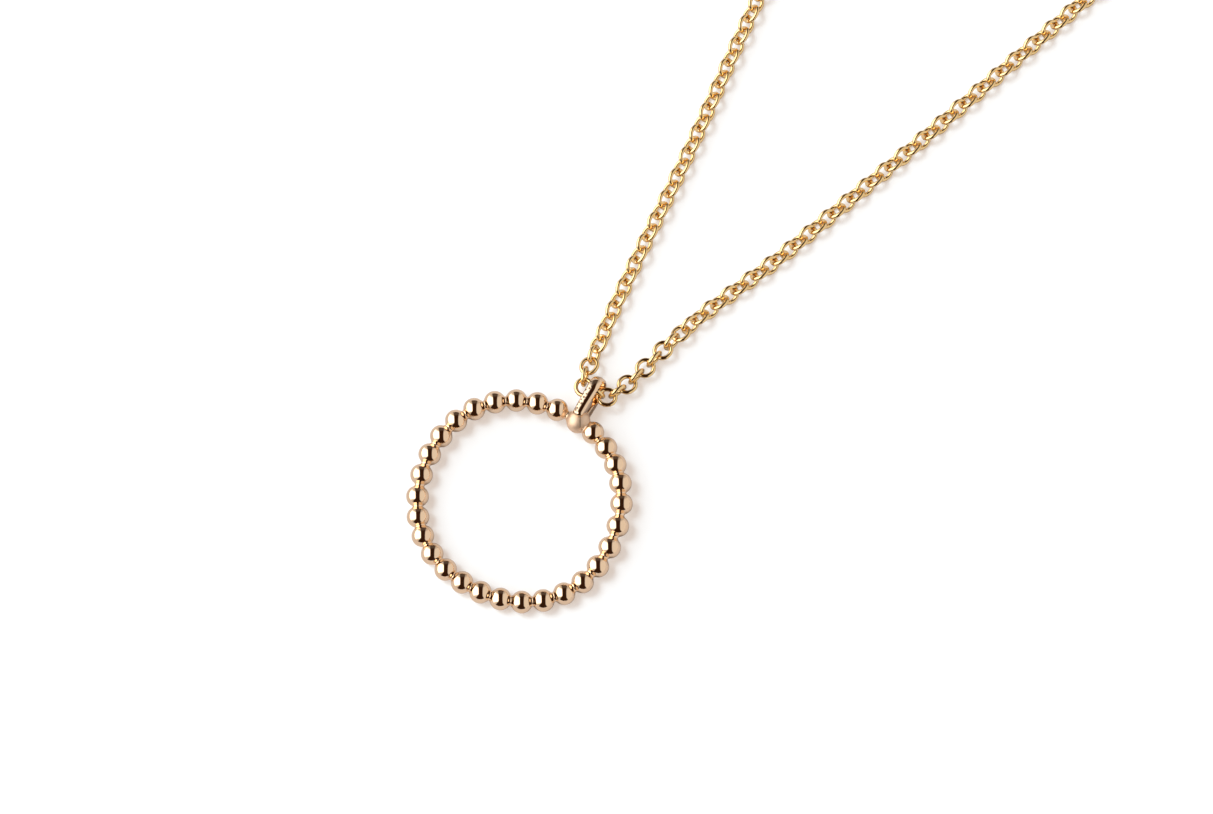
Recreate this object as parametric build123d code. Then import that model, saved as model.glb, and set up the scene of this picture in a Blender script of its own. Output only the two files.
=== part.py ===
from build123d import *
import os
from math import asin, cos, degrees, exp, pi, radians, sin, sqrt, tan

# A beaded circle pendant on a cable chain, lying on a table.
# Millimetres. +Y runs from the pendant to the clasp along the line between the two strands, +Z is up from
# the table. The origin is on the table, under the middle of the necklace's box.

# Beaded circle: a ring of fused round beads with one larger bead under the bail
RING_RADIUS = 8.9
RING_OVAL = 0.11            # how far the ring is pulled oval, at its widest
RING_OVAL_AT = -15.0        # direction of the long way of the oval, degrees in the pendant's own frame
RING_SQUARE = 0.11          # how far it bulges at four places, as a ring bent by hand does
RING_SQUARE_AT = -33.0
BEAD_COUNT = 29
BEAD_RADIUS = 1.0
BASE_BEAD_RADIUS = 1.08
FIRST_GAP = 13.9            # degrees from the base bead to the first bead
LAST_GAP = 11.0             # degrees from the last bead to the base bead
CROWDED = [(10.3, 1.6, 1.7), (25.4, 2.9, 2.2)]  # bead number, degrees beads are pushed along, spread in beads
CORE_RADIUS = 0.40          # wire that shows as a short neck between two beads

# Bail: a closed cast loop, a round crown over two legs that end on the base bead
BAIL_LENGTH = 4.38          # from the base bead's centre to the top of the crown
BAIL_DEPTH = 2.88           # front to back at the crown
BAIL_FOOT_ROUNDING = 0.4
BAIL_CROWN_WIDTH = 1.12
BAIL_FOOT_WIDTH = 0.92
BAIL_FOOT_START = 0.1       # height above the base bead's centre at which the legs begin
BAIL_SLOT_START = 1.0
BAIL_SLOT_WIDTH = 0.44      # gap between the legs below the round eye
BAIL_SLOT_ROUNDING = 0.45   # where the slot opens into the eye
BAIL_SLOT_END = 0.18        # at the slot's lower corners
BAIL_OUTER_ROUNDING = 0.3   # makes the band of the bail half round
BAIL_INNER_ROUNDING = 0.08
BAIL_OFFSET = -0.08         # sideways from the base bead's centre
BAIL_LEAN = 6.5             # degrees that the bail leans off the ring's radius
BAIL_TWIST = 9.0            # degrees that it is turned about its own length
PENDANT_TURN = 0.9          # degrees that the whole pendant is turned on the table
FLOOR_CLEARANCE = 0.01      # under the lowest bead, the bail and the links; the clasp lies on the table

# Chain: round links of round wire
WIRE = 0.40
LINK_WIDTH = 1.83
LINK_PITCH = 1.113
LINK_CLEARANCE = 0.155      # between the wires of two links that hold each other
BAIL_CLEARANCE = 0.16       # between a link and the bail's eye
CHAIN_SLIDE = 0.16          # how far the middle link is drawn through the bail to the right
SIDE_LINKS = 75             # separate links on each side of the one in the bail
JOIN_GAP = 0.12             # between the last link and the rest of the chain, and between that and the clasp

# Chain route: x and y from the link in the bail, and the rise over the height of the strands
LEFT_STRAND = [
    (-27.60, 120.0, 0), (-20.60, 88.0, 0), (-14.75, 59.0, 0), (-9.90, 36.4, 0), (-6.56, 22.6, 0),
    (-4.60, 12.9, 0), (-3.27, 7.0, 0.02), (-2.30, 3.25, 0.10), (-2.02, 2.1, 0.24), (-1.70, 0.95, 0.47),
    (-1.30, -0.30, 0.74),
]
RIGHT_STRAND = [
    (1.24, 0.22, 0.90), (1.50, 1.30, 0.66), (1.82, 2.50, 0.42), (2.16, 4.70, 0.27), (2.46, 7.35, 0.25),
    (3.06, 10.8, 0.10), (4.21, 14.9, 0.01), (5.54, 19.5, 0), (6.98, 25.9, 0), (9.03, 34.9, 0),
    (11.58, 47.2, 0), (15.20, 65.0, 0), (21.20, 91.0, 0), (27.90, 120.0, 0),
]
BAIL_SIDE = -0.08           # how far the bail's eye lies from the line between the strands
STRAND_ANGLE = 12.2         # degrees between each strand and +Y where the strands end
BACK_RADIUS = 28.1          # bend of the chain behind the neck
BACK_CORNERS = 4
ARC_SHARE = 0.45            # of the shorter run beside a route point, that its arc takes up
BACK_START = 154.0          # y of the bend's centre, from the link in the bail

# How the links are rolled about the chain: upright and flat in turn at the bail, at 45 degrees further out
BAIL_ROLL = 90.0
STRAND_ROLL = 45.0
LEFT_ROLL_START = 0.0
RIGHT_ROLL_START = 5.0
ROLL_LINKS = 7.0

# Clasp: a closed claw with an eye at each end
CLASP_BODY_LENGTH = 7.6
CLASP_BODY_WIDTH = 4.2
CLASP_THICKNESS = 1.6
CLASP_RIM = 0.95
CLASP_EDGE_ROUNDING = 0.3
EYE_RADIUS = 0.95           # to the middle of the eye's wire
EYE_WIRE = 0.55

CROWN_RADIUS = BAIL_DEPTH / 2
EYE_HEIGHT = BAIL_LENGTH - CROWN_RADIUS     # the bail's round eye is concentric with its crown
EYE_OPENING = LINK_WIDTH / 2 + BAIL_CLEARANCE
LINK_REACH = (LINK_WIDTH - WIRE) / 2 * sin(radians(STRAND_ROLL)) + WIRE / 2     # up and to the side
STRAND_HEIGHT = LINK_REACH + FLOOR_CLEARANCE
CLASP_HALF = CLASP_BODY_LENGTH / 2 + 2 * EYE_RADIUS + EYE_WIRE / 2


# Distance from the ring's centre to its centre line in a direction given in degrees.
def ring_radius(angle):
    oval = RING_OVAL * cos(radians(2 * (angle - RING_OVAL_AT)))
    square = RING_SQUARE * cos(radians(4 * (angle - RING_SQUARE_AT)))
    return RING_RADIUS + oval + square


def ring_point(angle):
    radius = ring_radius(angle)
    return Vector(radius * cos(radians(angle)), radius * sin(radians(angle)), 0)


# How far a bead is pushed along the ring, in degrees, where the beads sit unevenly.
def crowding(number):
    return sum(push * exp(-((number - place) / spread) ** 2) for place, push, spread in CROWDED)


# Directions of the base bead and of the others, counter-clockwise from the bail.
def bead_angles():
    step = (360 - FIRST_GAP - LAST_GAP) / (BEAD_COUNT - 1)
    others = [90 + FIRST_GAP + step * (n - 1) + crowding(n) for n in range(1, BEAD_COUNT + 1)]
    return [90] + others


# A bead whose seam faces the ring's middle, away from its necks and from the bail.
def bead(angle, radius):
    return Pos(*ring_point(angle)) * Rot(Z=angle + 180) * Sphere(radius)


def cylinder_between(start, end, radius):
    along = end - start
    return Plane(start, z_dir=along) * Cylinder(
        radius, along.length, align=(Align.CENTER, Align.CENTER, Align.MIN)
    )


def beaded_ring():
    angles = bead_angles()
    centres = [ring_point(angle) for angle in angles]
    ring = bead(angles[0], BASE_BEAD_RADIUS)
    ring += [bead(angle, BEAD_RADIUS) for angle in angles[1:]]
    necks = zip(centres, centres[1:] + centres[:1])
    ring += [cylinder_between(start, end, CORE_RADIUS) for start, end in necks]
    return ring


# The bail along its own +Y from the base bead's centre, its front face towards +Z and its eye along X.
def bail():
    block = Pos(BAIL_FOOT_START, 0) * Rectangle(
        EYE_HEIGHT - BAIL_FOOT_START, BAIL_DEPTH, align=(Align.MIN, Align.CENTER)
    )
    outline = fillet(block.vertices().sort_by(Axis.X)[:2], BAIL_FOOT_ROUNDING)
    outline += Pos(EYE_HEIGHT, 0) * Circle(CROWN_RADIUS)
    slot = Pos(BAIL_SLOT_START, 0) * Rectangle(
        EYE_HEIGHT - BAIL_SLOT_START, BAIL_SLOT_WIDTH, align=(Align.MIN, Align.CENTER)
    )
    slot = fillet(slot.vertices().sort_by(Axis.X)[:2], BAIL_SLOT_END)
    hole = Pos(EYE_HEIGHT, 0) * Circle(EYE_OPENING) + slot
    eye_bottom = EYE_HEIGHT - sqrt(EYE_OPENING ** 2 - (BAIL_SLOT_WIDTH / 2) ** 2)
    mouth = [v for v in hole.vertices() if abs(v.X - eye_bottom) < BAIL_SLOT_END / 2]
    hole = fillet(mouth, BAIL_SLOT_ROUNDING)
    loop = extrude(Plane.YZ * (outline - hole), BAIL_CROWN_WIDTH, both=True)
    wide = BAIL_CROWN_WIDTH / 2
    narrow = BAIL_FOOT_WIDTH / 2
    taper = Polygon(
        (-narrow, BAIL_FOOT_START), (narrow, BAIL_FOOT_START), (wide, BAIL_LENGTH),
        (-wide, BAIL_LENGTH), align=None
    )
    loop &= extrude(taper, BAIL_DEPTH, both=True)
    flanks = loop.faces().sort_by(Axis.X)
    loop = fillet(flanks[0].outer_wire().edges() + flanks[-1].outer_wire().edges(), BAIL_OUTER_ROUNDING)
    flanks = loop.faces().filter_by(GeomType.PLANE).sort_by(Axis.X)
    eye_edges = flanks[0].inner_wires()[0].edges() + flanks[-1].inner_wires()[0].edges()
    return fillet(eye_edges, BAIL_INNER_ROUNDING)


# Place of the bail in the pendant's own frame, whose ring lies in the XY plane round the origin.
def bail_place():
    return Pos(*ring_point(90)) * Rot(Z=BAIL_LEAN) * Pos(BAIL_OFFSET, 0) * Rot(Y=-BAIL_TWIST)


# Place of the pendant: it rests on the bead across from the bail and on the back of the bail's legs,
# with the bail's eye on the chain's route.
def pendant_place():
    twist = radians(BAIL_TWIST)
    rounding = BAIL_OUTER_ROUNDING
    drop = (CROWN_RADIUS - rounding) * cos(twist) + (BAIL_FOOT_WIDTH / 2 - rounding) * sin(twist) + rounding
    span = ring_radius(270) + ring_radius(90) + BAIL_FOOT_START + BAIL_FOOT_ROUNDING
    tilt = asin((drop - BEAD_RADIUS) / span)
    turned = Rot(Z=PENDANT_TURN) * Rot(X=degrees(tilt))
    eye = (turned * bail_place() * Pos(0, EYE_HEIGHT, 0)).position
    height = BEAD_RADIUS + ring_radius(270) * sin(tilt) + FLOOR_CLEARANCE
    return Pos(BAIL_SIDE - eye.X, -eye.Y, height) * turned


def eye_centre():
    return (pendant_place() * bail_place() * Pos(0, EYE_HEIGHT, 0)).position


# Corners of the bend behind the neck on the left side, from the clasp to the strand.
def back_corners():
    turn = (90 + STRAND_ANGLE) / BACK_CORNERS
    half = BACK_RADIUS * tan(radians(turn / 2))
    place = Vector(-CLASP_HALF, BACK_START + BACK_RADIUS, CLASP_THICKNESS / 2)
    corners = [place]
    heading = 180.0
    step = half
    for _ in range(BACK_CORNERS):
        place = place + Vector(step * cos(radians(heading)), step * sin(radians(heading)), 0)
        corners.append(Vector(place.X, place.Y, STRAND_HEIGHT))
        heading += turn
        step = 2 * half
    return corners


def strand_points(strand):
    return [Vector(x, y, STRAND_HEIGHT + rise) for x, y, rise in strand]


def route():
    left = back_corners()
    right = [Vector(-p.X, p.Y, p.Z) for p in reversed(left)]
    return left + strand_points(LEFT_STRAND) + [eye_centre()] + strand_points(RIGHT_STRAND) + right


# Radius of the arc at each inner point, as large as its two runs allow.
def route_radii(points):
    radii = []
    for before, here, after in zip(points, points[1:], points[2:]):
        turn = (here - before).get_angle(after - here)
        run = min((here - before).length, (after - here).length)
        radii.append(ARC_SHARE * run / tan(radians(turn / 2)))
    return radii


def chain_path():
    points = route()
    return FilletPolyline(*points, radius=route_radii(points))


# Length along the path at which it passes nearest to the middle of the bail's eye.
def eye_distance(path):
    steps = 4000
    target = eye_centre()
    nearest = min(range(steps + 1), key=lambda i: ((path @ (i / steps)) - target).length)
    return path.length * nearest / steps


# Goes smoothly from 0 to 1 over ROLL_LINKS links.
def roll_step(links):
    share = min(max(links / ROLL_LINKS, 0), 1)
    return share * share * (3 - 2 * share)


def link_roll(index):
    side = roll_step(-index - LEFT_ROLL_START) - roll_step(index - RIGHT_ROLL_START)
    return BAIL_ROLL + STRAND_ROLL * side + 90 * (index % 2)


# One link, long along X, in the XY plane.
def link():
    radius = (LINK_WIDTH - WIRE) / 2
    length = LINK_PITCH + WIRE + LINK_CLEARANCE
    centre_line = SlotOverall(length + WIRE, LINK_WIDTH).face().outer_wire().offset_2d(-WIRE / 2)
    profile = Plane((0, -radius, 0), z_dir=(1, 0, 0)) * Circle(WIRE / 2)
    return sweep(profile, centre_line)


# Place of a link: along the chain in X, rolled about it.
def link_place(path, middle, index):
    share = (middle + index * LINK_PITCH) / path.length
    half = LINK_PITCH / path.length
    along = (path @ (share + half)) - (path @ (share - half))
    across = Vector(0, 0, 1).cross(along).normalized()
    upward = along.cross(across).normalized()
    roll = radians(link_roll(index))
    width = across * cos(roll) + upward * sin(roll)
    return Plane(path @ share, x_dir=along, z_dir=along.cross(width)).location


def chain_front(path, middle):
    one = link()
    places = [link_place(path, middle, i) for i in range(-SIDE_LINKS, SIDE_LINKS + 1)]
    return [place * one for place in places]


def tube(path, start, end):
    stretch = path.trim(start / path.length, end / path.length)
    profile = Plane(stretch @ 0, z_dir=stretch % 0) * Circle(LINK_REACH)
    solid = sweep(profile, stretch)
    expected = pi * LINK_REACH ** 2 * stretch.length
    print("tube volume share of section times length", round(solid.volume / expected, 4))
    return solid


def chain_back(path, middle):
    reach = (SIDE_LINKS + 0.5) * LINK_PITCH + (WIRE + LINK_CLEARANCE) / 2 + WIRE / 2 + JOIN_GAP
    left = tube(path, JOIN_GAP, middle - reach)
    right = tube(path, middle + reach, path.length - JOIN_GAP)
    return [left, right]


def clasp():
    body = SlotOverall(CLASP_BODY_LENGTH, CLASP_BODY_WIDTH)
    body -= SlotOverall(CLASP_BODY_LENGTH - 2 * CLASP_RIM, CLASP_BODY_WIDTH - 2 * CLASP_RIM)
    claw = extrude(body, CLASP_THICKNESS / 2, both=True)
    claw = fillet(claw.edges(), CLASP_EDGE_ROUNDING)
    reach = CLASP_BODY_LENGTH / 2 + EYE_RADIUS
    for side in (-1, 1):
        claw += Pos(side * reach, 0, 0) * Torus(EYE_RADIUS, EYE_WIRE / 2)
    return Pos(0, BACK_START + BACK_RADIUS, CLASP_THICKNESS / 2) * claw


def write(name, shape):
    export_step(shape, os.path.join("parts", name + ".step"))


def main():
    os.makedirs("parts", exist_ok=True)
    pendant = pendant_place() * (beaded_ring() + bail_place() * bail())
    path = chain_path()
    middle = eye_distance(path) + CHAIN_SLIDE
    front = chain_front(path, middle)
    back = chain_back(path, middle)
    lock = clasp()
    start = pendant.bounding_box().min
    end = lock.bounding_box().max
    centred = Pos(0, -(start.Y + end.Y) / 2, 0)
    print("pendant's lowest point", round(start.Z, 3))
    print("chain path length", round(path.length, 1))
    write("pendant", centred * pendant)
    write("chain_front", centred * Compound(children=front))
    write("chain_back", centred * Compound(children=back))
    write("clasp", centred * lock)


main()
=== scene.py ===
from math import acos, asin, cos, degrees, pi, radians, sin, sqrt, tan

import bpy
import numpy as np
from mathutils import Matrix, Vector


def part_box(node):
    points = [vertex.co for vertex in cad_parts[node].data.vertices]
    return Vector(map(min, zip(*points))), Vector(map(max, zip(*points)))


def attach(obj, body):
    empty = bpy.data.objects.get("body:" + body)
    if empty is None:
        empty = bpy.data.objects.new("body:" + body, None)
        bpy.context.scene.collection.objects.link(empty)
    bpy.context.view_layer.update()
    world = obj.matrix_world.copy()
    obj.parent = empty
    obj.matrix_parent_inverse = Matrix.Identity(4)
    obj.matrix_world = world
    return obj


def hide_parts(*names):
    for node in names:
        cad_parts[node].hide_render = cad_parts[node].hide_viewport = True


# A beaded circle pendant on a cable chain, laid on a white table.
# Sizes are in millimetres until a mesh or a shader takes them, and angles in degrees.
# The axes are those of the solids, and the route of the chain is counted from the bail's eye.

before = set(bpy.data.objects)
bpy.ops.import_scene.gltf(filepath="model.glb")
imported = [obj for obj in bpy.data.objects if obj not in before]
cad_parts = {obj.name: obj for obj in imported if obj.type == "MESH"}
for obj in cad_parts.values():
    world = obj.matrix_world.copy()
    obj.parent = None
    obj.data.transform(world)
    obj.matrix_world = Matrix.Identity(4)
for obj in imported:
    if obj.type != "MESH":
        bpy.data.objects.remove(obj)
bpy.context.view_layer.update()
MM = 0.001

# Ring of beads
RING_RADIUS = 8.9
RING_OVAL = 0.11
RING_OVAL_AT = -15.0
RING_SQUARE = 0.11
RING_SQUARE_AT = -33.0
BEAD_COUNT = 29
BEAD_RADIUS = 1.0
BEAD_FLATTENING = 0.96
BASE_BEAD_RADIUS = 1.08
BASE_BEAD_AT = 90.0
FIRST_GAP = 13.9
LAST_GAP = 11.0
# Bead number, degrees that the beads there are pushed along, and how many beads it spreads over
CROWDED = [(10.3, 1.6, 1.7), (25.4, 2.9, 2.2)]
NECK_RADIUS = 0.38
NECK_SHARPNESS = 14.0
NECK_BLEND = 0.15
FLANK_CROWDING = 0.55

# Bail
BAIL_LENGTH = 4.38
BAIL_DEPTH = 2.88
BAIL_FOOT_ROUNDING = 0.4
BAIL_CROWN_WIDTH = 1.12
BAIL_FOOT_WIDTH = 0.92
BAIL_FOOT_START = 0.1
BAIL_SLOT_START = 1.0
BAIL_SLOT_WIDTH = 0.44
BAIL_OUTER_ROUNDING = 0.3
BAIL_INNER_ROUNDING = 0.08
BAIL_MOUTH_CUT = 0.12
BAIL_MOUTH_DROP = 0.14
BAIL_SIDE_DROP = 0.10
BAIL_OFFSET = -0.08
BAIL_LEAN = 6.5
BAIL_TWIST = 9.0
PENDANT_TURN = 0.9
FLOOR_CLEARANCE = 0.01

# Chain
WIRE = 0.40
LINK_WIDTH = 1.83
LINK_PITCH = 1.113
LINK_PLAY = 0.02
LINK_SWELL = 1.02
WIRE_SWELL = 1.16
BAIL_CLEARANCE = 0.16
CHAIN_SLIDE = 0.16
SIDE_LINKS = 75
# Points of each strand as (side, away from the pendant, lift)
LEFT_STRAND = [
    (-27.60, 120.0, 0), (-20.60, 88.0, 0), (-14.75, 59.0, 0), (-9.90, 36.4, 0), (-6.56, 22.6, 0),
    (-4.60, 12.9, 0), (-3.27, 7.0, 0.02), (-2.30, 3.25, 0.10), (-2.02, 2.1, 0.24), (-1.70, 0.95, 0.47),
    (-1.30, -0.30, 0.74),
]
RIGHT_STRAND = [
    (1.24, 0.22, 0.90), (1.50, 1.30, 0.66), (1.82, 2.50, 0.42), (2.16, 4.70, 0.27), (2.46, 7.35, 0.25),
    (3.06, 10.8, 0.10), (4.21, 14.9, 0.01), (5.54, 19.5, 0), (6.98, 25.9, 0), (9.03, 34.9, 0),
    (11.58, 47.2, 0), (15.20, 65.0, 0), (21.20, 91.0, 0), (27.90, 120.0, 0),
]
BAIL_SIDE = -0.08
STRAND_ANGLE = 12.2
BACK_RADIUS = 28.1
BACK_CORNERS = 4
ARC_SHARE = 0.45
BACK_START = 154.0
BAIL_ROLL = 90.0
STRAND_ROLL = 45.0
LEFT_ROLL_START = 0.0
RIGHT_ROLL_START = 5.0
ROLL_LINKS = 7.0
ROUTE_SAMPLES = 4001

# Clasp
CLASP_BODY_LENGTH = 7.6
CLASP_THICKNESS = 1.6
EYE_RADIUS = 0.95
EYE_WIRE = 0.55

CROWN_RADIUS = BAIL_DEPTH / 2
EYE_HEIGHT = BAIL_LENGTH - CROWN_RADIUS
EYE_OPENING = LINK_WIDTH / 2 + BAIL_CLEARANCE
STRAND_HEIGHT = (LINK_WIDTH - WIRE) / 2 * sin(radians(STRAND_ROLL)) + WIRE / 2 + FLOOR_CLEARANCE
CLASP_HALF = CLASP_BODY_LENGTH / 2 + 2 * EYE_RADIUS + EYE_WIRE / 2

# How far the solids were moved along Y to centre the whole necklace, read from the clasp
clasp_low, clasp_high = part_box("clasp")
SHIFT = (clasp_low.y + clasp_high.y) / 2 / MM - (BACK_START + BACK_RADIUS)
CENTRING = np.array([0, SHIFT, 0])

# Golds: colour, the colour that it drifts to, and roughness. Scales of patterns are counts per metre.
CHAMPAGNE_GOLD = ((0.93, 0.70, 0.48), (0.90, 0.66, 0.44), 0.05)
YELLOW_GOLD = ((0.93, 0.68, 0.34), (0.90, 0.63, 0.28), 0.03)
TONE_SCALE = 420.0
POLISH_SCALE = 9000.0
POLISH_DEPTH = 0.01
POLISH_STRENGTH = 0.05
POLISH_SPREAD = (0.8, 1.25)
NOISE_MIDDLE = (0.3, 0.7)

# Satin base bead with a short dark line across it
SATIN_COLOUR = (0.87, 0.66, 0.48)
SATIN_ROUGHNESS = 0.55
SATIN_FADE = (0.02, 0.10)
DARK_LINE_SIDE = (0.12, 0.20, 0.03)
DARK_LINE_RUN = (-0.55, 0.35, 0.05)
DARK_LINE_COLOUR = (0.16, 0.08, 0.04)
DARK_LINE_STRENGTH = 0.8

# Dotted band on the bail's front: where it lies from the bail's foot, as (from, to, fade)
BAND_SIDE = (-0.50, 0.0, 0.02)
BAND_HEIGHT = (0.2, 3.5, 0.05)
BAND_FRONT = (0.9, 2.0, 0.05)
# The band's darker colour is painted shade that tones down the highlight on that side; its dull gloss and
# dots are its own
BAND_PAINTED_SHADE = (0.55, 0.42, 0.31)
BAND_PAINTED_SHADE_STRENGTH = 0.55
BAND_ROUGHNESS = 0.24
DOT_SCALE = 3400.0
DOT_EDGE = (0.30, 0.46)
DOT_COLOUR = (0.10, 0.06, 0.035)
DOT_STRENGTH = 0.9

# Table, with a colour and a glow for the camera alone, so that the open floor just reaches white
# and the shadows keep their tone
TABLE_HALF = 4000.0
TABLE_DROP = 0.01
TABLE_FOR_GOLD = (0.58, 0.56, 0.57)
TABLE_FOR_CAMERA = (0.44, 0.55, 0.62)
TABLE_GLOW = (0.52, 0.41, 0.34)

# Window light, with where it comes from in the photograph's right, up and towards-the-camera directions
WINDOW_STRENGTH = 1.6
WINDOW_SPREAD = 22.0
WINDOW_FROM = (-0.42, 0.36, 0.83)

# Soft boxes, set out by the sideways and upward parts of a direction.
# An edge is (where the box begins, how far down it starts to draw back, and how fast).
LEFT_EDGE = (0.30, 0.32, 0.70)
RIGHT_EDGE = (0.39, 0.60, 0.60)
LEFT_FADE = (-0.06, 0.14)
RIGHT_FADE = (-0.06, 0.10)
LEFT_GLOW = 0.65
LEFT_MIDDLE_GLOW = 1.95
MIDDLE_FROM = (-0.54, -0.28)
MIDDLE_TO = (0.68, 0.86)
RIGHT_GLOW = (0.80, 0.50)
TOP_FADE = (0.78, 0.96)
TOP_GLOW = 0.06
BOX_COLOUR = (1.0, 0.985, 0.97)
GAP_COLOUR = (0.035, 0.014, 0.006)
WHITE = (1.0, 1.0, 1.0, 1.0)

# The photograph's view: the point at the middle of the frame, and the width of table that it takes in
VIEW_AZIMUTH = 36.8
VIEW_ELEVATION = 76.0
VIEW_TARGET = (1.36, SHIFT - 0.119, 0.0)
VIEW_WIDTH = 106.3
VIEW_DISTANCE = 420.0
SENSOR_WIDTH = 36.0
CLIP_NEAR = 10.0
CLIP_FAR = 20000.0


def turn_x(angle):
    """The matrix of a turn about X, from the angle's cosine and sine."""
    c, s = cos(radians(angle)), sin(radians(angle))
    return np.array([[1, 0, 0], [0, c, -s], [0, s, c]])


def turn_y(angle):
    """The matrix of a turn about Y, from the angle's cosine and sine."""
    c, s = cos(radians(angle)), sin(radians(angle))
    return np.array([[c, 0, s], [0, 1, 0], [-s, 0, c]])


def turn_z(angle):
    """The matrix of a turn about Z, from the angle's cosine and sine."""
    c, s = cos(radians(angle)), sin(radians(angle))
    return np.array([[c, -s, 0], [s, c, 0], [0, 0, 1]])


def unit(vectors):
    """Each vector divided by its own length."""
    return vectors / np.linalg.norm(vectors, axis=-1, keepdims=True)


def after(first, last, count):
    """Evenly spaced values that end at the last and leave out the first."""
    return np.linspace(first, last, count + 1)[1:]


def sheet_faces(rows, columns):
    """Corner numbers of the four-sided faces of a grid that closes on itself both ways."""
    r, c = np.meshgrid(np.arange(rows), np.arange(columns), indexing="ij")
    r, c = r.ravel(), c.ravel()
    r2, c2 = (r + 1) % rows, (c + 1) % columns
    return np.stack([r * columns + c, r2 * columns + c, r2 * columns + c2, r * columns + c2], axis=1)


def make_piece(name, points, faces, material, smooth=0):
    """A smooth mesh object from points in millimetres and four-sided faces, rounded if asked."""
    mesh = bpy.data.meshes.new(name)
    mesh.from_pydata((points * MM).tolist(), [], faces.tolist())
    mesh.polygons.foreach_set("use_smooth", np.ones(len(mesh.polygons), bool))
    mesh.materials.append(material)
    piece = bpy.data.objects.new(name, mesh)
    bpy.context.scene.collection.objects.link(piece)
    if smooth:
        rounding = piece.modifiers.new("rounding", "SUBSURF")
        rounding.levels = smooth
        rounding.render_levels = smooth
    return piece


def ring_radius(angle):
    """The ring's radius in a direction: a circle with a slight oval and a slight square added."""
    oval = RING_OVAL * np.cos(np.radians(2 * (angle - RING_OVAL_AT)))
    square = RING_SQUARE * np.cos(np.radians(4 * (angle - RING_SQUARE_AT)))
    return RING_RADIUS + oval + square


def ring_point(angle):
    """The ring's middle line in a direction: its radius times the angle's cosine and sine."""
    radius = ring_radius(angle)
    turned = np.radians(angle)
    return np.stack([radius * np.cos(turned), radius * np.sin(turned), 0 * radius], axis=-1)


def bead_angles():
    """Directions of the base bead and of the others, which are pushed along where they sit unevenly.

    A push fades with the distance from its place, as a bell curve of the bead's number.
    """
    number = np.arange(1, BEAD_COUNT + 1)
    step = (360 - FIRST_GAP - LAST_GAP) / (BEAD_COUNT - 1)
    others = BASE_BEAD_AT + FIRST_GAP + step * (number - 1)
    for place, push, spread in CROWDED:
        others = others + push * np.exp(-((number - place) / spread) ** 2)
    return np.concatenate([[BASE_BEAD_AT], others])


def bail_placed(points):
    """From the bail's own axes, +Y along it and +Z out of its front, to those of the ring."""
    placed = points @ turn_y(-BAIL_TWIST).T + [BAIL_OFFSET, 0, 0]
    return placed @ turn_z(BAIL_LEAN).T + ring_point(BASE_BEAD_AT)


def pendant_placed(points):
    """From the ring's axes to the table: the pendant rests on its far bead and on the bail's back.

    The sine of its tilt is how much deeper the bail's back reaches than a bead, over their distance.
    """
    twist = radians(BAIL_TWIST)
    rounding = BAIL_OUTER_ROUNDING
    drop = (CROWN_RADIUS - rounding) * cos(twist) + (BAIL_FOOT_WIDTH / 2 - rounding) * sin(twist) + rounding
    far_radius = ring_radius(BASE_BEAD_AT + 180)
    span = far_radius + ring_radius(BASE_BEAD_AT) + BAIL_FOOT_START + BAIL_FOOT_ROUNDING
    tilt = asin((drop - BEAD_RADIUS) / span)
    turned = turn_z(PENDANT_TURN) @ turn_x(degrees(tilt))
    eye = turned @ bail_placed(np.array([0, EYE_HEIGHT, 0]))
    height = BEAD_RADIUS + far_radius * sin(tilt) + FLOOR_CLEARANCE
    return points @ turned.T + np.array([BAIL_SIDE - eye[0], -eye[1], height])


def bail_point(side, along, forward):
    """A point given in the bail's own axes, laid on the table."""
    return pendant_placed(bail_placed(np.array([side, along, forward])))


def bead_ring(around=28, half_bead=11):
    """The ring of beads as one closed tube round the circle.

    A station is a slice through the ring's axis. Near a bead, the slice is the circle in which it cuts the
    bead: its centre is the bead's, dropped on the slice, and its radius is the root of the bead's radius
    squared less the distance squared, with the distance stretched because the beads are a little flattened.
    Between two beads the slice is the neck's circle, and the two are joined by a soft maximum. The stations
    crowd on the beads' flanks, by a sine added to their even spacing.
    """
    angles = bead_angles()
    radii = np.where(np.arange(len(angles)) == 0, BASE_BEAD_RADIUS, BEAD_RADIUS)
    after_angles = np.concatenate([angles[1:], [angles[0] + 360]])
    after_radii = np.roll(radii, -1)
    share = np.linspace(0, 1, 2 * half_bead, endpoint=False)
    share = share + np.sin(4 * pi * share) / (4 * pi) * FLANK_CROWDING
    theta = angles[:, None] + (after_angles - angles)[:, None] * share
    start = ring_radius(angles)[:, None]
    end = ring_radius(after_angles)[:, None]
    from_start = np.radians(theta - angles[:, None])
    to_end = np.radians(after_angles[:, None] - theta)
    first = np.clip(radii[:, None] ** 2 - (start * np.sin(from_start) / BEAD_FLATTENING) ** 2, 0, None)
    second = np.clip(after_radii[:, None] ** 2 - (end * np.sin(to_end) / BEAD_FLATTENING) ** 2, 0, None)
    nearer = first >= second
    bead = np.sqrt(np.where(nearer, first, second))
    radius = (bead ** NECK_SHARPNESS + NECK_RADIUS ** NECK_SHARPNESS) ** (1 / NECK_SHARPNESS)
    bead_centre = np.where(nearer, start * np.cos(from_start), end * np.cos(to_end))
    neck_centre = start * end * np.sin(from_start + to_end) / (
        start * np.sin(from_start) + end * np.sin(to_end))
    mix = np.clip((bead - NECK_RADIUS) / NECK_BLEND, 0, 1)
    centre = neck_centre + (bead_centre - neck_centre) * mix
    theta, radius, centre = theta.ravel(), radius.ravel(), centre.ravel()
    phi = np.linspace(0, 2 * pi, around, endpoint=False)
    out = centre[:, None] + radius[:, None] * np.cos(phi)
    up = radius[:, None] * np.sin(phi)
    direction = np.radians(theta)[:, None]
    points = np.stack([out * np.cos(direction), out * np.sin(direction), up], axis=-1)
    return points.reshape(-1, 3), sheet_faces(len(theta), around)


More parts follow.
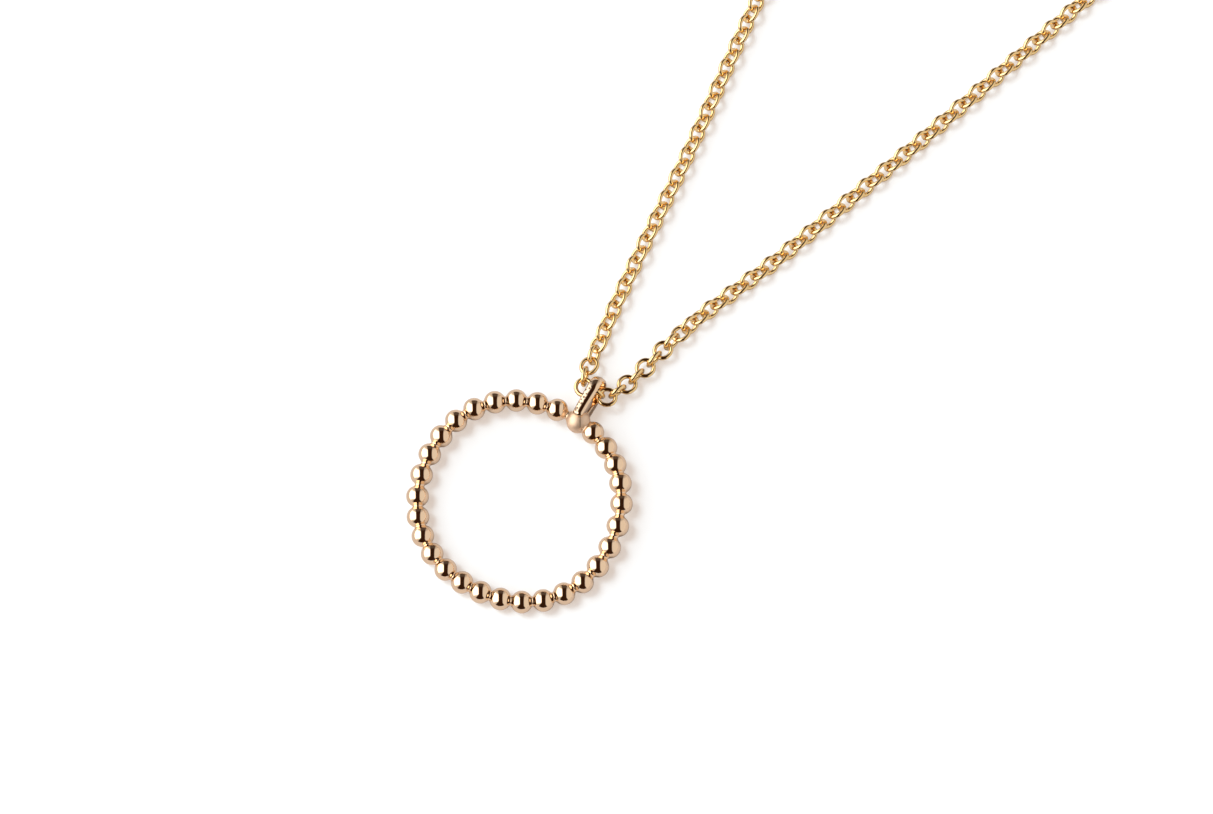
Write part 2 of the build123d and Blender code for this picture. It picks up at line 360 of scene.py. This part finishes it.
def bail_outlines(crown_steps=15, side_steps=8, leg_steps=7, foot_steps=8, sole_steps=5):
    """The outer and inner outline of the bail's side, point for point, as (height, forward) pairs.

    Both are taken on rays from the eye's centre while they pass the crown and the eye, and run down the leg
    and round the foot below it. The outer one is the crown's circle, straight sides and a rounded foot. The
    inner one is the eye's circle, the slot and its rounded end. The front half is mirrored to the back.
    """
    slot = BAIL_SLOT_WIDTH / 2
    slot_end = BAIL_SLOT_START + slot
    crown = np.radians(np.linspace(0, 90, crown_steps))
    mouth = 90 + degrees(acos((slot + BAIL_MOUTH_CUT) / EYE_OPENING))
    below = np.radians(after(90, mouth, side_steps))
    side_end = EYE_HEIGHT + EYE_OPENING * cos(radians(mouth)) - BAIL_SIDE_DROP
    slot_top = EYE_HEIGHT - sqrt(EYE_OPENING ** 2 - slot ** 2) - BAIL_MOUTH_DROP
    foot = np.radians(after(0, 90, foot_steps))
    foot_end = BAIL_FOOT_START + BAIL_FOOT_ROUNDING
    corner = CROWN_RADIUS - BAIL_FOOT_ROUNDING
    slot_round = np.radians(np.concatenate([after(0, 60, foot_steps), after(60, 90, sole_steps)]))

    outer = np.column_stack([
        np.concatenate([
            EYE_HEIGHT + CROWN_RADIUS * np.cos(crown),
            after(EYE_HEIGHT, side_end, side_steps),
            after(side_end, foot_end, leg_steps),
            foot_end - BAIL_FOOT_ROUNDING * np.sin(foot),
            np.full(sole_steps, BAIL_FOOT_START),
        ]),
        np.concatenate([
            CROWN_RADIUS * np.sin(crown),
            np.full(side_steps + leg_steps, CROWN_RADIUS),
            corner + BAIL_FOOT_ROUNDING * np.cos(foot),
            after(corner, 0, sole_steps),
        ]),
    ])
    inner = np.column_stack([
        np.concatenate([
            EYE_HEIGHT + EYE_OPENING * np.cos(crown),
            EYE_HEIGHT + EYE_OPENING * np.cos(below),
            after(slot_top, slot_end, leg_steps),
            slot_end - slot * np.sin(slot_round),
        ]),
        np.concatenate([
            EYE_OPENING * np.sin(crown),
            EYE_OPENING * np.sin(below),
            np.full(leg_steps, slot),
            slot * np.cos(slot_round),
        ]),
    ])
    mirrored = [1, -1]
    outer = np.concatenate([outer, outer[-2:0:-1] * mirrored])
    inner = np.concatenate([inner, inner[-2:0:-1] * mirrored])
    return outer, inner


def bail_loop(arc_steps=15, corner_steps=4):
    """The bail as a closed band: a half-round profile carried round its side outline.

    The profile's outer side is half an ellipse from flank to flank, and its inner side is flat with rounded
    corners. The flanks draw together towards the foot.
    """
    outer, inner = bail_outlines()
    share = (outer[:, 0] - BAIL_FOOT_START) / (BAIL_LENGTH - BAIL_FOOT_START)
    half_width = (BAIL_FOOT_WIDTH + (BAIL_CROWN_WIDTH - BAIL_FOOT_WIDTH) * share)[:, None] / 2
    depth = np.linalg.norm(outer - inner, axis=1)[:, None]
    arc = np.linspace(0, pi, arc_steps)
    corner = np.linspace(0, pi / 2, corner_steps)
    across = np.concatenate([
        half_width * np.cos(arc),
        BAIL_INNER_ROUNDING * (1 - np.cos(corner)) - half_width,
        half_width - BAIL_INNER_ROUNDING * (1 - np.sin(corner)),
    ], axis=1)
    out = np.concatenate([
        1 - BAIL_OUTER_ROUNDING / depth * (1 - np.sin(arc)),
        BAIL_INNER_ROUNDING / depth * (1 - np.sin(corner)),
        BAIL_INNER_ROUNDING / depth * (1 - np.cos(corner)),
    ], axis=1)
    side_view = inner[:, None, :] + (outer - inner)[:, None, :] * out[:, :, None]
    points = np.stack([across, side_view[:, :, 0], side_view[:, :, 1]], axis=-1)
    rows, columns = out.shape
    return points.reshape(-1, 3), sheet_faces(rows, columns)


def back_corners():
    """Corners of the bend behind the neck on the left side, from the clasp to the strand.

    They are the corners of a polygon round a circle of BACK_RADIUS: each run is twice the radius times the
    tangent of half a turn, and the first is half as long.
    """
    turn = (90 + STRAND_ANGLE) / BACK_CORNERS
    half = BACK_RADIUS * tan(radians(turn / 2))
    number = np.arange(BACK_CORNERS)
    headings = np.radians(180 + turn * number)
    steps = half * np.where(number == 0, 1, 2)
    moves = np.stack([steps * np.cos(headings), steps * np.sin(headings)], axis=1)
    flat = np.cumsum(moves, axis=0) + [-CLASP_HALF, BACK_START + BACK_RADIUS]
    corners = np.column_stack([flat, np.full(BACK_CORNERS, STRAND_HEIGHT)])
    return np.vstack([[-CLASP_HALF, BACK_START + BACK_RADIUS, CLASP_THICKNESS / 2], corners])


def chain_route():
    """Points of the chain's route from the clasp, down the left strand, through the bail and back."""
    left = back_corners()
    right = left[::-1] * [-1, 1, 1]
    rise = [0, 0, STRAND_HEIGHT]
    eye = bail_point(0, EYE_HEIGHT, 0)
    return np.vstack([left, np.array(LEFT_STRAND) + rise, eye, np.array(RIGHT_STRAND) + rise, right])


class Route:
    """The chain's line: straight runs between the route's points, with an arc at each of them.

    An arc touches both its runs at ARC_SHARE of the shorter one. A place on the line is found from its
    distance: on a run it is that far along it, and on an arc it is turned about the arc's centre by
    distance over radius.
    """

    def __init__(self, points):
        runs = np.diff(points, axis=0)
        lengths = np.linalg.norm(runs, axis=1)
        self.along = runs / lengths[:, None]
        incoming, outgoing = self.along[:-1], self.along[1:]
        cut = ARC_SHARE * np.minimum(lengths[:-1], lengths[1:])
        turn = np.arccos(np.clip((incoming * outgoing).sum(axis=1), -1, 1))
        self.radius = cut / np.tan(turn / 2)
        pieces = np.empty(2 * len(runs) - 1)
        pieces[0::2] = lengths - np.concatenate([[0], cut]) - np.concatenate([cut, [0]])
        pieces[1::2] = self.radius * turn
        self.starts = np.concatenate([[0], np.cumsum(pieces)])
        self.length = self.starts[-1]
        self.run_starts = points[:-1] + self.along * np.concatenate([[0], cut])[:, None]
        self.arc_starts = points[1:-1] - incoming * cut[:, None]
        inward = unit(outgoing - incoming)
        self.inward = unit(inward - (inward * incoming).sum(axis=1, keepdims=True) * incoming)

    def at(self, distance):
        """Points at distances along the line."""
        piece = np.clip(np.searchsorted(self.starts, distance, side="right") - 1, 0, len(self.starts) - 2)
        rest = (distance - self.starts[piece])[:, None]
        run = piece // 2
        straight = self.run_starts[run] + self.along[run] * rest
        bend = np.clip((piece - 1) // 2, 0, len(self.radius) - 1)
        radius = self.radius[bend][:, None]
        angle = rest / radius
        ahead = self.along[bend] * radius * np.sin(angle)
        aside = self.inward[bend] * radius * (1 - np.cos(angle))
        return np.where((piece % 2 == 0)[:, None], straight, self.arc_starts[bend] + ahead + aside)

    def nearest(self, point):
        """The distance along the line of the sample that lies nearest to a point."""
        samples = np.linspace(0, self.length, ROUTE_SAMPLES)
        return samples[np.argmin(np.linalg.norm(self.at(samples) - point, axis=1))]


def roll_step(links):
    """Goes smoothly from 0 to 1 over ROLL_LINKS links, as three squares of the share less two cubes."""
    share = np.clip(links / ROLL_LINKS, 0, 1)
    return share * share * (3 - 2 * share)


def link_rolls(number):
    """Each link's turn about the chain: upright and flat in turn at the bail, slanted further out."""
    side = roll_step(-number - LEFT_ROLL_START) - roll_step(number - RIGHT_ROLL_START)
    return BAIL_ROLL + STRAND_ROLL * side + 90 * (number % 2)


def link_shape(around, wire_sides):
    """One link, long along X: a circle of wire carried round two half circles and two short runs.

    Both circles are swollen by as much as the rounding of the mesh draws them in again.
    """
    bend = (LINK_WIDTH - WIRE) / 2
    run = (LINK_PITCH + WIRE + LINK_PLAY) / 2 - bend
    bend = bend * LINK_SWELL
    wire = WIRE / 2 * WIRE_SWELL
    t = np.linspace(0, 2 * pi, around, endpoint=False) + pi / around
    middle = np.stack([bend * np.cos(t) + run * np.sign(np.cos(t)), bend * np.sin(t)], axis=1)
    outward = np.stack([np.cos(t), np.sin(t)], axis=1)
    p = np.linspace(0, 2 * pi, wire_sides, endpoint=False)
    flat = middle[:, None, :] + outward[:, None, :] * (wire * np.cos(p))[None, :, None]
    height = np.broadcast_to(wire * np.sin(p), (around, wire_sides))
    return np.concatenate([flat, height[:, :, None]], axis=2).reshape(-1, 3)


def chain_links(name, route, distances, numbers, material, around=14, wire_sides=6):
    """Copies of one link along the route, each turned by its roll, as one mesh.

    A link's length follows the route, and its width is the sideways and upward directions mixed by the
    cosine and sine of its roll.
    """
    shape = link_shape(around, wire_sides)
    centre = route.at(distances)
    along = unit(route.at(distances + LINK_PITCH) - route.at(distances - LINK_PITCH))
    across = unit(np.cross([0, 0, 1], along))
    upward = np.cross(along, across)
    roll = np.radians(link_rolls(numbers))[:, None]
    width = across * np.cos(roll) + upward * np.sin(roll)
    axes = np.stack([along, width, np.cross(along, width)], axis=1)
    points = centre[:, None, :] + np.einsum("vk,lkc->lvc", shape, axes) + CENTRING
    one = sheet_faces(around, wire_sides)
    faces = (one[None, :, :] + len(shape) * np.arange(len(numbers))[:, None, None]).reshape(-1, 4)
    return make_piece(name, points.reshape(-1, 3), faces, material, smooth=1)


class Shading:
    """The nodes of a material or a world. A value is a number, a vector or the output of another node."""

    def __init__(self, owner):
        owner.use_nodes = True
        self.nodes, self.links = owner.node_tree.nodes, owner.node_tree.links

    def put(self, value, socket):
        """Links an output to a socket, or sets the socket to a number or a vector."""
        if isinstance(value, bpy.types.NodeSocket):
            self.links.new(value, socket)
        else:
            socket.default_value = value

    def add(self, kind, inputs, **settings):
        """A new node, with its settings made before its inputs."""
        node = self.nodes.new("ShaderNode" + kind)
        for name, setting in settings.items():
            setattr(node, name, setting)
        for socket, value in inputs.items():
            self.put(value, node.inputs[socket])
        return node

    def object_place(self):
        """The place on the object, in metres."""
        return self.add("TexCoord", {}).outputs["Object"]

    def camera_share(self):
        """1 for what the camera sees directly, and 0 for what the gold reflects."""
        return self.add("LightPath", {}).outputs["Is Camera Ray"]

    def math(self, operation, *values):
        """A sum, product or the like of its values."""
        return self.add("Math", dict(enumerate(values)), operation=operation).outputs[0]

    def product(self, first, *others):
        """All values multiplied."""
        for other in others:
            first = self.math("MULTIPLY", first, other)
        return first

    def measure(self, operation, first, second):
        """One number from two vectors, such as their dot product or distance."""
        return self.add("VectorMath", {0: first, 1: second}, operation=operation).outputs["Value"]

    def ramp(self, value, ends, bottom=0.0, top=1.0, shape="LINEAR"):
        """Goes from bottom to top while the value goes from the first end to the second."""
        inputs = {"Value": value, "From Min": ends[0], "From Max": ends[1], "To Min": bottom, "To Max": top}
        return self.add("MapRange", inputs, interpolation_type=shape).outputs["Result"]

    def colour_mix(self, share, first, second):
        """The first colour where the share is 0, and the second where it is 1."""
        return self.add("Mix", {0: share, 6: first, 7: second}, data_type="RGBA").outputs[2]

    def number_mix(self, share, first, second):
        """The first number where the share is 0, and the second where it is 1."""
        return self.add("Mix", {0: share, 2: first, 3: second}, data_type="FLOAT").outputs[0]

    def noise(self, place, scale, **inputs):
        """Soft random values round a half."""
        values = {"Vector": place, "Scale": scale, **inputs}
        return self.add("TexNoise", values).outputs["Fac"]

    def within(self, place, origin, axis, low, high, fade):
        """1 where the place lies between low and high millimetres from the origin, along an axis."""
        offset = self.add("VectorMath", {0: place, 1: Vector(origin) * MM}, operation="SUBTRACT").outputs[0]
        along = self.measure("DOT_PRODUCT", offset, axis)
        from_middle = self.math("ABSOLUTE", self.math("SUBTRACT", along, (low + high) / 2 * MM))
        half = (high - low) / 2
        return self.ramp(from_middle, ((half - fade) * MM, (half + fade) * MM), 1.0, 0.0)

    def lay_colour(self, socket, share, colour):
        """Lays a colour over what a socket already has, where the share is 1."""
        under = socket.links[0].from_socket
        self.put(self.colour_mix(share, under, (*colour, 1)), socket)

    def lay_number(self, socket, share, number):
        """Lays a number over what a socket already has, where the share is 1."""
        under = socket.links[0].from_socket
        self.put(self.number_mix(share, under, number), socket)


def gold(name, colour, warm, roughness):
    """Polished gold: a metal whose colour drifts a little, with polishing marks in its gloss and relief."""
    material = bpy.data.materials.new(name)
    shading = Shading(material)
    surface = shading.nodes["Principled BSDF"].inputs
    surface["Metallic"].default_value = 1.0
    place = shading.object_place()

    drift = shading.noise(place, TONE_SCALE, Detail=2.0)
    shading.put(shading.colour_mix(drift, (*colour, 1), (*warm, 1)), surface["Base Color"])

    polish = shading.noise(place, POLISH_SCALE, Detail=4.0, Roughness=0.6)
    limits = [roughness * share for share in POLISH_SPREAD]
    shading.put(shading.ramp(polish, NOISE_MIDDLE, *limits), surface["Roughness"])
    relief = shading.add(
        "Bump", {"Strength": POLISH_STRENGTH, "Distance": POLISH_DEPTH * MM, "Height": polish})
    shading.put(relief.outputs["Normal"], surface["Normal"])
    return material


def satin_base_bead(material):
    """The base bead stays satin from soldering, with a short dark line across it."""
    shading = Shading(material)
    surface = shading.nodes["Principled BSDF"].inputs
    place = shading.object_place()
    bead_middle = pendant_placed(ring_point(BASE_BEAD_AT)) + CENTRING
    away = shading.measure("DISTANCE", place, Vector(bead_middle) * MM)
    ends = [(BASE_BEAD_RADIUS + fade) * MM for fade in SATIN_FADE]
    satin = shading.ramp(away, ends, 1.0, 0.0)
    shading.lay_colour(surface["Base Color"], satin, SATIN_COLOUR)
    shading.lay_number(surface["Roughness"], satin, SATIN_ROUGHNESS)

    right, up = view_axes()[:2]
    dark_line = shading.product(
        satin,
        shading.within(place, bead_middle, right, *DARK_LINE_SIDE),
        shading.within(place, bead_middle, up, *DARK_LINE_RUN),
        DARK_LINE_STRENGTH,
    )
    shading.lay_colour(surface["Base Color"], dark_line, DARK_LINE_COLOUR)


def dotted_band_with_painted_shade(material):
    """A slightly duller band down one side of the bail's front, darkened as painted shade, with tiny dark
    dots.
    """
    shading = Shading(material)
    surface = shading.nodes["Principled BSDF"].inputs
    place = shading.object_place()
    foot = bail_point(0, 0, 0) + CENTRING
    side, top, front = [bail_point(*axis) + CENTRING - foot for axis in ((1, 0, 0), (0, 1, 0), (0, 0, 1))]
    band = shading.product(
        shading.within(place, foot, side, *BAND_SIDE),
        shading.within(place, foot, top, *BAND_HEIGHT),
        shading.within(place, foot, front, *BAND_FRONT),
    )
    specks = shading.add("TexVoronoi", {"Vector": place, "Scale": DOT_SCALE}).outputs["Distance"]
    dots = shading.product(band, shading.ramp(specks, DOT_EDGE, 1.0, 0.0), DOT_STRENGTH)
    # The band's darker colour is painted shade that tones down the highlight there
    shading.lay_colour(surface["Base Color"], shading.product(band, BAND_PAINTED_SHADE_STRENGTH), BAND_PAINTED_SHADE)
    shading.lay_number(surface["Roughness"], band, BAND_ROUGHNESS)
    shading.lay_colour(surface["Base Color"], dots, DOT_COLOUR)


def table_white():
    """The matt table: a tone with a faint glow for the camera, and plain grey for the gold's reflections."""
    material = bpy.data.materials.new("table white")
    shading = Shading(material)
    surface = shading.nodes["Principled BSDF"].inputs
    surface["Emission Color"].default_value = (*TABLE_GLOW, 1)
    surface["Roughness"].default_value = 1.0
    surface["Specular IOR Level"].default_value = 0.0
    seen = shading.camera_share()
    tone = shading.colour_mix(seen, (*TABLE_FOR_GOLD, 1), (*TABLE_FOR_CAMERA, 1))
    shading.put(tone, surface["Base Color"])
    shading.put(seen, surface["Emission Strength"])
    return material


def table_top(material):
    """The table as one square face just below the necklace."""
    square = np.array([[-1, -1], [1, -1], [1, 1], [-1, 1]]) * TABLE_HALF
    points = np.column_stack([square, np.full(4, -TABLE_DROP)])
    return make_piece("table", points, np.array([[0, 1, 2, 3]]), material)


def view_axes():
    """The photograph's right, up and towards-the-camera directions.

    They come from the cosines and sines of the view's azimuth and elevation.
    """
    a, e = radians(VIEW_AZIMUTH), radians(VIEW_ELEVATION)
    right = Vector((cos(a), sin(a), 0))
    back = Vector((sin(a) * cos(e), -cos(a) * cos(e), sin(e)))
    return right, back.cross(right), back


def add_to_scene(name, data, towards):
    """A new camera or light that looks against a direction."""
    thing = bpy.data.objects.new(name, data)
    thing.rotation_mode = "QUATERNION"
    thing.rotation_quaternion = towards.to_track_quat("Z", "Y")
    bpy.context.scene.collection.objects.link(thing)
    return thing


def place_camera():
    """A long lens at the photograph's angle, whose frame is VIEW_WIDTH wide at the table."""
    back = view_axes()[2]
    data = bpy.data.cameras.new("photograph view")
    data.sensor_width = SENSOR_WIDTH
    data.lens = SENSOR_WIDTH * VIEW_DISTANCE / VIEW_WIDTH
    data.clip_start = CLIP_NEAR * MM
    data.clip_end = CLIP_FAR * MM
    camera = add_to_scene("photograph view", data, back)
    camera.location = (Vector(VIEW_TARGET) + back * VIEW_DISTANCE) * MM
    bpy.context.scene.camera = camera


def window_light():
    """A broad soft light from the photograph's upper left, which casts the table's soft shadows."""
    data = bpy.data.lights.new("window", "SUN")
    data.energy = WINDOW_STRENGTH
    data.angle = radians(WINDOW_SPREAD)
    towards = Vector((0, 0, 0))
    for share, axis in zip(WINDOW_FROM, view_axes()):
        towards += share * axis
    light = add_to_scene("window", data, towards.normalized())
    light.visible_glossy = False


def studio():
    """Soft boxes to the left and right with a dark gap between them, set out by direction.

    The direction is split into the photograph's right and up parts. A box begins where the sideways part
    passes its edge. Below a limit, the edge draws back by its slope times the depth, so the gap opens there.
    The left box is brightest over its middle, and the right one dims towards the top. The camera itself
    sees plain white.
    """
    world = bpy.data.worlds.new("studio")
    bpy.context.scene.world = world
    shading = Shading(world)
    shading.nodes.clear()
    direction = shading.add("TexCoord", {}).outputs["Generated"]
    right, up = view_axes()[:2]
    x = shading.measure("DOT_PRODUCT", direction, right)
    y = shading.measure("DOT_PRODUCT", direction, up)
    left = shading.math("MULTIPLY", x, -1.0)
    down = shading.math("MULTIPLY", y, -1.0)

    def smooth(value, ends, bottom=0.0, top=1.0):
        """A ramp with soft ends."""
        return shading.ramp(value, ends, bottom, top, shape="SMOOTHSTEP")

    def box(outward, edge, fade):
        """1 past the box's edge, which draws back further down."""
        begins, opens, opening = edge
        lower = shading.math("MAXIMUM", shading.math("SUBTRACT", down, opens), 0.0)
        gap = shading.math("MULTIPLY_ADD", lower, opening, begins)
        return smooth(shading.math("SUBTRACT", outward, gap), fade)

    middle = shading.product(smooth(y, MIDDLE_FROM), smooth(y, MIDDLE_TO, 1.0, 0.0))
    left_glow = shading.math("MULTIPLY_ADD", middle, LEFT_MIDDLE_GLOW, LEFT_GLOW)
    left_box = shading.product(box(left, LEFT_EDGE, LEFT_FADE), left_glow)
    right_box = shading.product(box(x, RIGHT_EDGE, RIGHT_FADE), smooth(y, MIDDLE_TO, *RIGHT_GLOW))
    both = shading.math("ADD", left_box, right_box)
    boxes = shading.math("ADD", both, smooth(y, TOP_FADE, 0.0, TOP_GLOW))
    light = shading.add("VectorMath", {0: boxes, 1: BOX_COLOUR, 2: GAP_COLOUR}, operation="MULTIPLY_ADD")
    colour = shading.colour_mix(shading.camera_share(), light.outputs[0], WHITE)
    background = shading.add("Background", {"Color": colour}).outputs["Background"]
    shading.add("OutputWorld", {"Surface": background})


def pendant_mesh():
    """Points and faces of the ring of beads with the bail on its base bead."""
    ring_points, ring_faces = bead_ring()
    loop_points, loop_faces = bail_loop()
    points = pendant_placed(np.vstack([ring_points, bail_placed(loop_points)])) + CENTRING
    return points, np.vstack([ring_faces, loop_faces + len(ring_points)])


place_camera()
studio()
window_light()
bpy.context.scene.view_settings.view_transform = "Standard"

pendant_gold = gold("champagne gold", *CHAMPAGNE_GOLD)
satin_base_bead(pendant_gold)
dotted_band_with_painted_shade(pendant_gold)
chain_gold = gold("yellow gold", *YELLOW_GOLD)

pendant = make_piece("beaded_circle_with_bail", *pendant_mesh(), pendant_gold, smooth=1)
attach(pendant, "root")
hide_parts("pendant")

# Links are numbered from the one in the bail, less than 0 on the left strand
route = Route(chain_route())
middle = route.nearest(bail_point(0, EYE_HEIGHT, 0)) + CHAIN_SLIDE
numbers = np.arange(-SIDE_LINKS, SIDE_LINKS + 1)
front = chain_links("chain_through_bail", route, middle + numbers * LINK_PITCH, numbers, chain_gold)
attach(front, "root")
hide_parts("chain_front")

# The rest of each side is shared out evenly over the links that fit it best
left_rest = middle - SIDE_LINKS * LINK_PITCH
right_rest = route.length - (middle + SIDE_LINKS * LINK_PITCH)
left_count = round(left_rest / LINK_PITCH)
right_count = round(right_rest / LINK_PITCH)
left_steps = np.arange(1, left_count + 1)
right_steps = np.arange(1, right_count + 1)
back_distances = np.concatenate([
    left_rest * (1 - left_steps / left_count),
    route.length - right_rest * (1 - right_steps / right_count),
])
back_numbers = np.concatenate([-SIDE_LINKS - left_steps, SIDE_LINKS + right_steps])
back = chain_links("chain_to_clasp", route, back_distances, back_numbers, chain_gold, around=12)
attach(back, "root")
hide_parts("chain_back")

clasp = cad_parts["clasp"]
clasp.data.materials.clear()
clasp.data.materials.append(chain_gold)

table = table_top(table_white())
